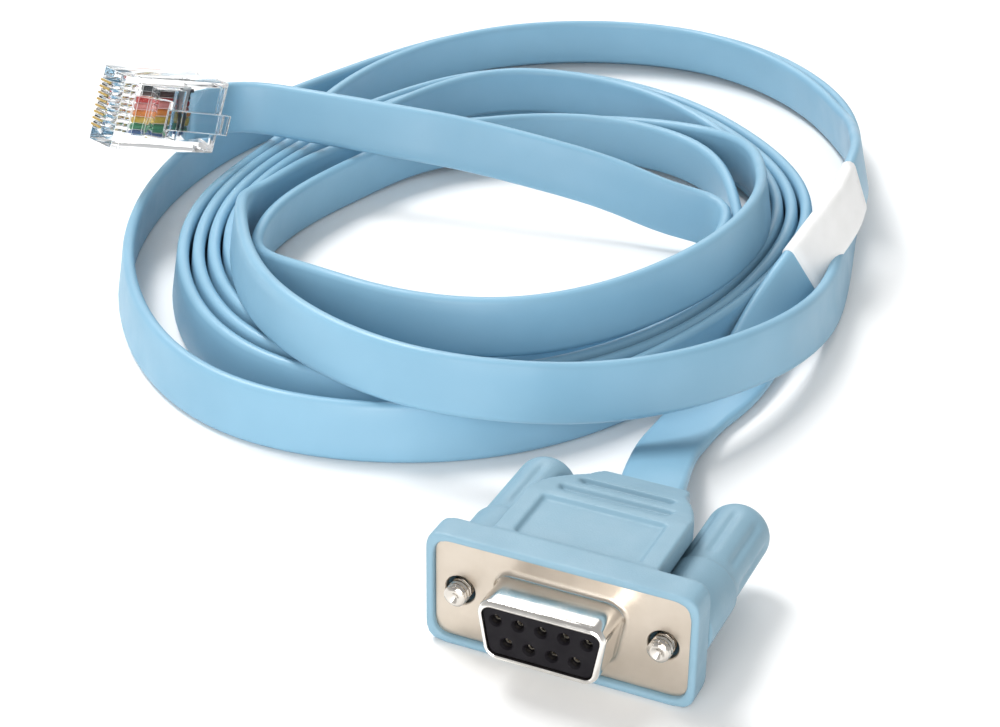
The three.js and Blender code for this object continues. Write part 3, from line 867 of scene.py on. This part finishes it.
def grip_profile():
    """Places along the grip with their radius and how deep the flutes are there."""
    inner = COLLAR_RADIUS - COLLAR_ROUND
    steps = [(GRIP_START, 0, 0), (GRIP_START, inner, 0)]
    for i in range(1, 6):
        angle = i / 5 * math.pi / 2
        rise = COLLAR_ROUND * (1 - math.cos(angle))
        steps.append((GRIP_START + rise, inner + COLLAR_ROUND * math.sin(angle), 0))
    for i in range(6):
        share = i / 5
        ease = share * share * (3 - 2 * share)
        radius = COLLAR_RADIUS + (GRIP_RADIUS - COLLAR_RADIUS) * ease
        steps.append((COLLAR_END - COLLAR_ROUND + share * STEP_DOWN, radius, 0))
    shoulder = GRIP_END - DOME_LENGTH
    flute_start = COLLAR_END + STEP_DOWN
    for i in range(1, 24):
        share = i / 24
        y = flute_start + (shoulder - flute_start) * share
        deep = min(1.0, share * 7, (1 - share) * 6)
        steps.append((y, GRIP_RADIUS, deep * deep * (3 - 2 * deep)))
    for i in range(13):
        angle = i / 12 * math.pi / 2
        steps.append((shoulder + DOME_LENGTH * math.sin(angle), GRIP_RADIUS * math.cos(angle), 0))
    return steps


def flute(angle):
    """How deep the flutes are at an angle, from 0 between them to 1 in their middle."""
    wave = 0.5 + 0.5 * math.cos(FLUTES * angle)
    return wave**3


def turned(name, steps, x, sides, made, radius_at):
    """A closed turned mesh whose radius may change with the angle."""
    build = bmesh.new()
    rings = []
    for step in steps:
        if step[1] < 0.001:
            rings.append([build.verts.new(at(x, step[0], PLATE_Z))])
            continue
        ring = []
        for i in range(sides):
            angle = 2 * math.pi * i / sides
            radius = radius_at(step, angle)
            place = at(x + radius * math.sin(angle), step[0], PLATE_Z + radius * math.cos(angle))
            ring.append(build.verts.new(place))
        rings.append(ring)
    for one, other in zip(rings, rings[1:]):
        for i in range(sides):
            j = (i + 1) % sides
            if len(one) == 1:
                build.faces.new((one[0], other[j], other[i]))
            elif len(other) == 1:
                build.faces.new((one[i], one[j], other[0]))
            else:
                build.faces.new((one[i], one[j], other[j], other[i]))
    bmesh.ops.recalc_face_normals(build, faces=build.faces)
    mesh = bpy.data.meshes.new(name)
    build.to_mesh(mesh)
    build.free()
    piece = bpy.data.objects.new(name, mesh)
    bpy.context.scene.collection.objects.link(piece)
    mesh.materials.append(made)
    smooth_by_angle(piece, 50)
    return piece


for side, x in zip(("left", "right"), SCREW_PLACES):
    grip = turned(
        f"{side}_fluted_grip",
        grip_profile(),
        x,
        GRIP_SIDES,
        moulded_vinyl,
        lambda step, angle: step[1] - FLUTE_DEPTH * step[2] * flute(angle),
    )
    belongs(grip, f"{side}_thumbscrew", "blue_vinyl", f"{side}_thumb_grip")
    print(side, "grip faces:", len(grip.data.polygons))

# %% [markdown]
# The jackscrew's tip stands out of the flange. Its thread is a ridge that climbs one pitch at
# each turn, and its end is chamfered and dished.

# %% Jackscrews
SCREW_RADIUS = 1.42
SCREW_TIP = -1.8
SCREW_END = 11.7
THREAD_PITCH = 0.635
THREAD_DEPTH = 0.2
THREAD_END = 3.0
SCREW_SIDES = 40


def screw_profile():
    steps = [(SCREW_TIP + 0.5, 0, 0), (SCREW_TIP + 0.45, 0.3, 0), (SCREW_TIP, 0.75, 0)]
    steps += [(SCREW_TIP, SCREW_RADIUS - 0.45, 0), (SCREW_TIP + 0.3, SCREW_RADIUS - 0.12, 0)]
    count = int((THREAD_END - SCREW_TIP - 0.35) / (THREAD_PITCH / 8))
    for i in range(count):
        y = SCREW_TIP + 0.35 + i * THREAD_PITCH / 8
        steps.append((y, SCREW_RADIUS, 1))
    steps += [(THREAD_END + 0.1, SCREW_RADIUS, 0), (SCREW_END, SCREW_RADIUS, 0), (SCREW_END, 0, 0)]
    return steps


def thread_radius(step, angle):
    y, radius, cut = step
    if not cut:
        return radius
    phase = (y / THREAD_PITCH + angle / (2 * math.pi)) % 1
    return radius - THREAD_DEPTH * min(1.0, abs(2 * phase - 1) * 1.25)


for side, x in zip(("left", "right"), SCREW_PLACES):
    name = f"{side}_threaded_screw"
    screw = turned(name, screw_profile(), x, SCREW_SIDES, bright_nickel, thread_radius)
    belongs(screw, f"{side}_thumbscrew", "nickel", f"{side}_jackscrew")
    print(side, "screw faces:", len(screw.data.polygons))

# %% [markdown]
# The plug is one clear moulding. A copy of the solid model's mesh is cleaned into whole faces
# and each edge gets a small bevel, less clear and diffuse white as a painted highlight. The mesh
# has long thin faces that a bevel suits, and voxels would cloud the clear walls.

# %% A plug with bevelled edges
PLUG_BEVEL = 0.2
BEVEL_SEGMENTS = 2
SAME_PLACE = 0.002
FLAT_ANGLE = math.radians(0.5)
BEVEL_ANGLE = math.radians(32)
SMOOTH_ANGLE = 50


def bevelled(name, node, made, edge_made):
    """A copy of a node's mesh with whole flat faces and rounded edges."""
    shape = bmesh.new()
    shape.from_mesh(nodes[node].data)
    bmesh.ops.remove_doubles(shape, verts=shape.verts, dist=SAME_PLACE * MM)
    bmesh.ops.dissolve_limit(shape, angle_limit=FLAT_ANGLE, verts=shape.verts, edges=shape.edges)
    mesh = bpy.data.meshes.new(name)
    shape.to_mesh(mesh)
    shape.free()
    piece = bpy.data.objects.new(name, mesh)
    bpy.context.scene.collection.objects.link(piece)
    dress(piece, made, edge_made)
    bevel = piece.modifiers.new("edges", "BEVEL")
    # The bevels take the second finish, the painted edge highlight.
    bevel.material = 1
    bevel.width = PLUG_BEVEL * MM
    bevel.segments = BEVEL_SEGMENTS
    bevel.limit_method = "ANGLE"
    bevel.angle_limit = BEVEL_ANGLE
    bevel.use_clamp_overlap = True
    apply_modifiers(piece)
    smooth_by_angle(piece, SMOOTH_ANGLE)
    return piece


plug = bevelled("clear_plug", "plug_body", clear_plastic, painted_highlight_edge)
print("plug faces:", len(plug.data.polygons))

# %% [markdown]
# The photograph shows the latch's free end about level with the plug's rear, and the jacket cut
# further back. So the end of the latch and the end wall of the cord's pocket are moved along
# the plug. Each point is picked by its distance along the plug and its height from the middle.

# %% The latch's end and the cord's pocket
LATCH_HEIGHT = 4.1
LATCH_SHORTENED = 2.2
POCKET_HEIGHT = 1.2
POCKET_WALL = 7.8, 8.7
POCKET_SHORTENED = 1.9

for vert in plug.data.vertices:
    place = (vert.co - at(*PLUG_REAR)) / MM
    along, high = place.dot(PLUG_AXIS), abs(place.dot(LATCH_SIDE))
    if high > LATCH_HEIGHT and along < LATCH_SHORTENED:
        vert.co += PLUG_AXIS * LATCH_SHORTENED * MM
    if high < POCKET_HEIGHT and POCKET_WALL[0] < along < POCKET_WALL[1]:
        vert.co -= PLUG_AXIS * POCKET_SHORTENED * MM
belongs(plug, "cable", "clear_plastic", "plug_body")

# %% [markdown]
# The socket contacts and the plug's blades have the right shape already, so they only get
# their finish.

# %% Finishes on the solid model's own pieces
for number in range(1, 10):
    dress(nodes[f"socket_contact_{number}"], flash_gold)
for number in range(1, 9):
    dress(nodes[f"plug_contact_{number}"], gold)

# %% [markdown]
# The eight wires lie side by side without gaps, and start where the jacket is cut. Each is a
# copy of the solid model's wire, made thicker along its normals and drawn back to the jacket.

# %% Insulated wires
WIRE_SWELL = 0.1
WIRE_REAR_END = CORD_IN_PLUG_MODEL + 1
WIRE_DRAWN_BACK = CORD_IN_PLUG_MODEL - CORD_IN_PLUG + 0.4


def insulated_wire(number, made):
    piece = copy_of(f"insulated_wire_{number}", f"conductor_{number}", made)
    shape = bmesh.new()
    shape.from_mesh(piece.data)
    bmesh.ops.remove_doubles(shape, verts=shape.verts, dist=SAME_PLACE * MM)
    bmesh.ops.recalc_face_normals(shape, faces=shape.faces)
    shape.normal_update()
    for vert in shape.verts:
        vert.co += vert.normal * WIRE_SWELL * MM
    for vert in shape.verts:
        if (vert.co - at(*PLUG_REAR)).dot(PLUG_AXIS) / MM < WIRE_REAR_END:
            vert.co -= PLUG_AXIS * WIRE_DRAWN_BACK * MM
    shape.to_mesh(piece.data)
    shape.free()
    smooth_by_angle(piece, SMOOTH_ANGLE)
    return piece


wires = []
for number, wire_name in enumerate(WIRE_COLORS, start=1):
    wires.append(insulated_wire(number, wire_finishes[wire_name]))
    belongs(wires[-1], "cable", wire_name, f"conductor_{number}")
print("wires:", len(wires))

# %% [markdown]
# The label, the plug with its blades, and the wires are gathered in one list of the pieces on
# the cord.

on_cord = [label, plug]
on_cord += [nodes[f"plug_contact_{number}"] for number in range(1, 9)]
on_cord += wires

# %% [markdown]
# The table is plain white and bright, as in a product picture. One large soft light hangs
# above and behind on the left. A weak one fills from the front, and one behind gives the
# polished collar something bright to mirror.

# %% Table and lights
TABLE_SIZE = 3.0
table = mesh_object(
    "table",
    [(x * TABLE_SIZE, y * TABLE_SIZE, 0) for x, y in ((-1, -1), (1, -1), (1, 1), (-1, 1))],
    [(0, 1, 2, 3)],
    smooth=False,
)
table_white = finish("table_white", (0.92, 0.92, 0.915), 0.6)
table.data.materials.append(table_white)

MIDDLE = Vector((-0.04, 0.06, 0))


def area_light(name, place, size, watts):
    lamp = bpy.data.lights.new(name, "AREA")
    lamp.size = size
    lamp.energy = watts
    made = bpy.data.objects.new(name, lamp)
    bpy.context.scene.collection.objects.link(made)
    made.location = place
    made.rotation_euler = (MIDDLE - Vector(place)).to_track_quat("-Z", "Y").to_euler()


area_light("soft_key", (-0.62, 0.3, 1.0), 0.5, 12)
area_light("soft_fill", (0.12, -0.55, 0.22), 0.45, 3.2)
area_light("soft_rim", (-0.42, 1.15, 0.85), 0.8, 4)

# %% [markdown]
# The room round the table is a little brighter near the horizon than overhead, so that upright
# faces of the cord are lit as well as level ones. The direction's height sets the strength.

# %% The room's light
HORIZON_LIGHT = 0.66
OVERHEAD_LIGHT = 0.41
HORIZON_HEIGHT = 0.02
OVERHEAD_HEIGHT = 0.75

world = bpy.data.worlds.new("studio")
world.use_nodes = True
tree = world.node_tree
sky = tree.nodes["Background"]
sky.inputs["Color"].default_value = (1, 1, 1, 1)
direction = tree.nodes.new("ShaderNodeTexCoord")
parts = tree.nodes.new("ShaderNodeSeparateXYZ")
height = tree.nodes.new("ShaderNodeMapRange")
height.inputs["From Min"].default_value = HORIZON_HEIGHT
height.inputs["From Max"].default_value = OVERHEAD_HEIGHT
height.inputs["To Min"].default_value = HORIZON_LIGHT
height.inputs["To Max"].default_value = OVERHEAD_LIGHT
tree.links.new(direction.outputs["Generated"], parts.inputs["Vector"])
tree.links.new(parts.outputs["Z"], height.inputs["Value"])
tree.links.new(height.outputs["Result"], sky.inputs["Strength"])
bpy.context.scene.world = world
bpy.context.scene.view_settings.view_transform = "Standard"
print("lights:", len(bpy.data.lights))
